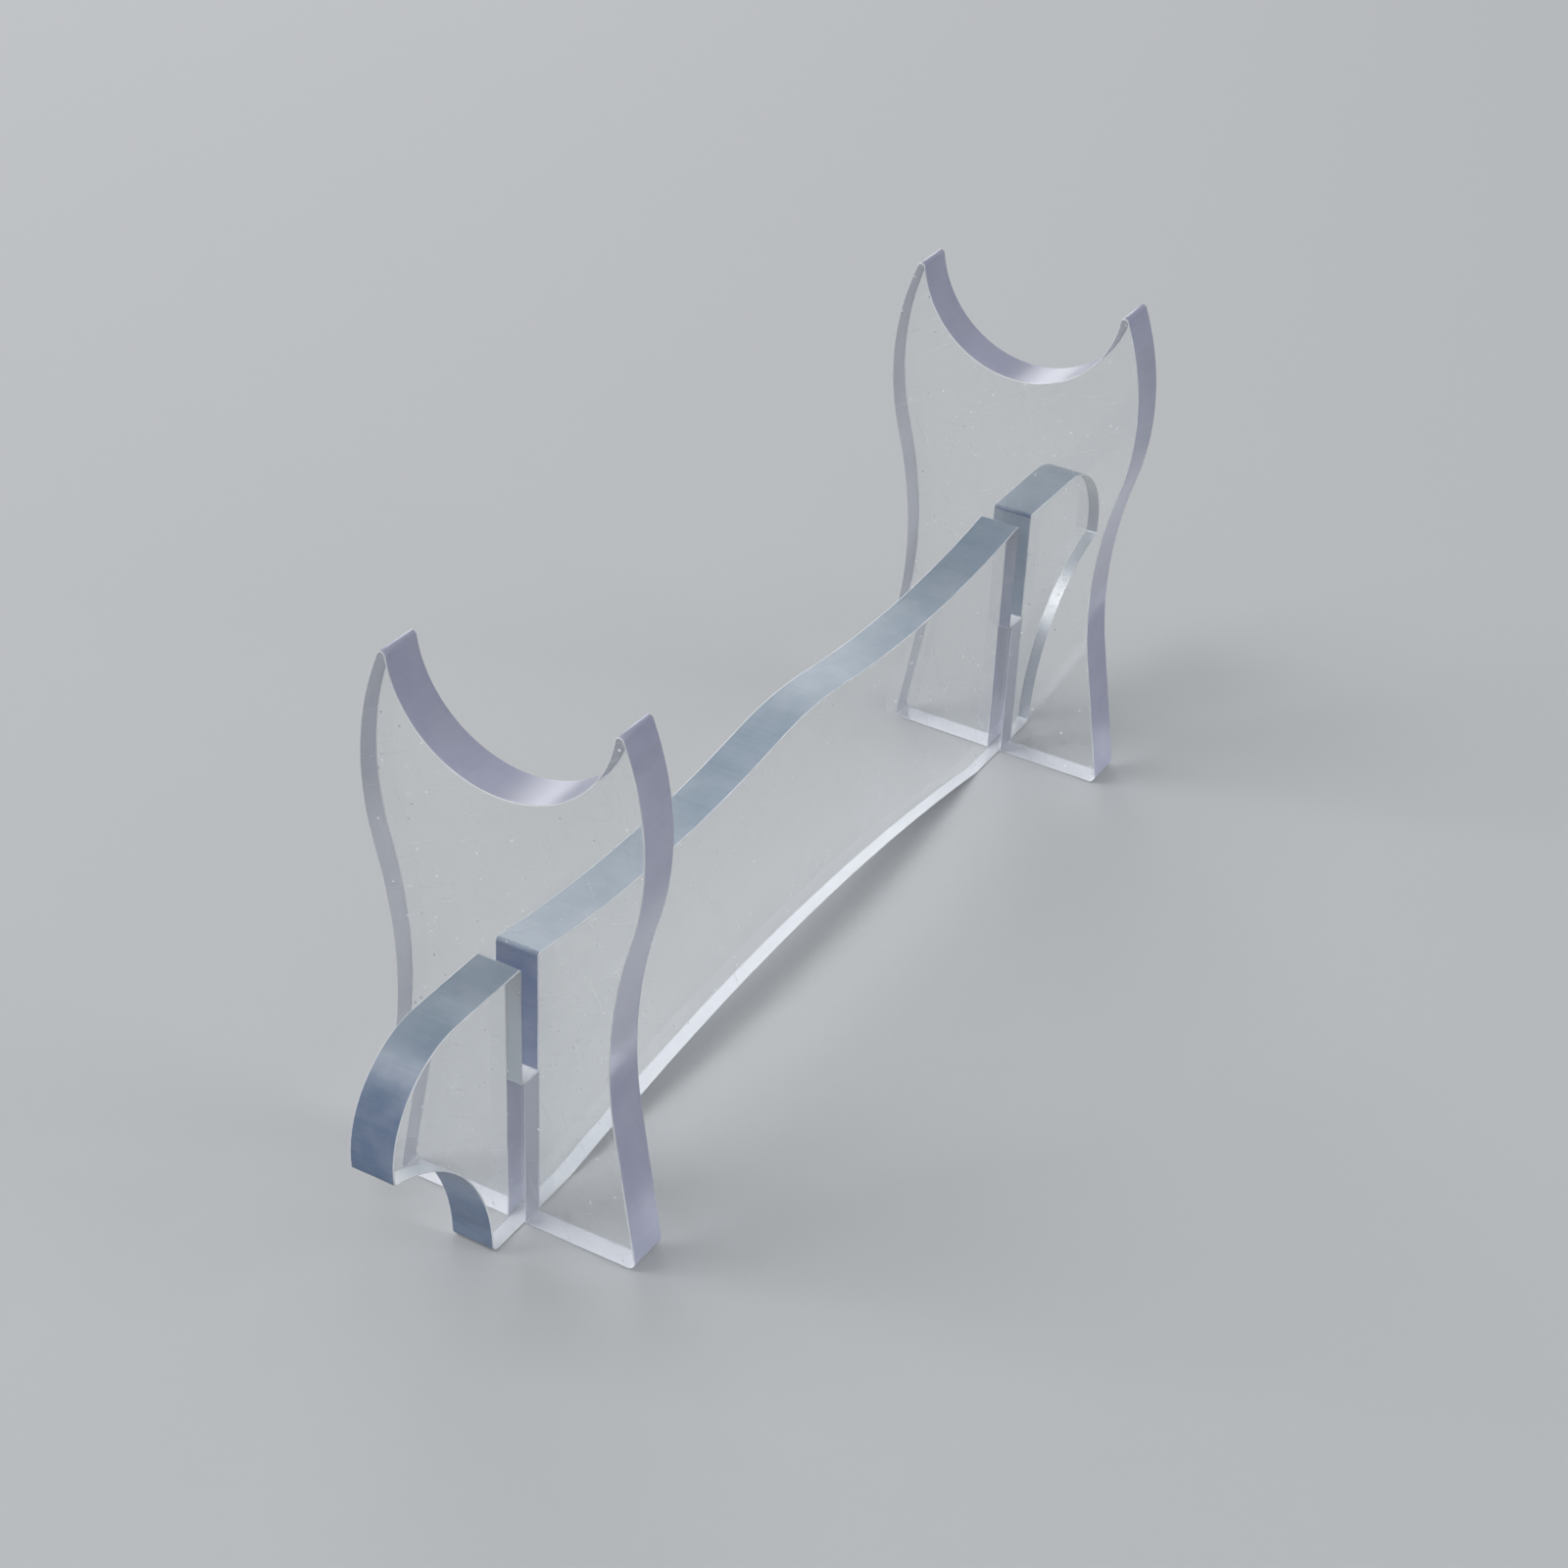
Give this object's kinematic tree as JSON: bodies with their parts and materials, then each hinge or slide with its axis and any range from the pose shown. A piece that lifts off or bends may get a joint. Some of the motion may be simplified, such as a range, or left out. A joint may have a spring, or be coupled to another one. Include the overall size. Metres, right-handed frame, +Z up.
{
  "type": "plate display stand",
  "caption": "Knock-down display stand: a long low rail slotted into upright plates with round cradles on top, all of clear sheet.",
  "frame": {"origin": "on the floor under the middle of the stand", "axes": "+X along the rail towards the right cradle plate, +Z up"},
  "size_m": [0.1516, 0.0318, 0.0618],
  "materials": {
    "rail_acrylic": "clear, with satin cut edges",
    "plate_acrylic": "clear, with satin cut edges"
  },
  "bodies": {
    "rail": {"cross_rail": "rail_acrylic"},
    "left_plate": {"left_cradle_plate": "plate_acrylic"},
    "right_plate": {"right_cradle_plate": "plate_acrylic"}
  },
  "joints": [
    {"name": "left_plate_lift", "type": "slide", "parent": "rail", "child": "left_plate", "axis": [0, 0, 1], "range_m": [0, 0.04]},
    {"name": "right_plate_lift", "type": "slide", "parent": "rail", "child": "right_plate", "axis": [0, 0, 1], "range_m": [0, 0.04]}
  ]
}
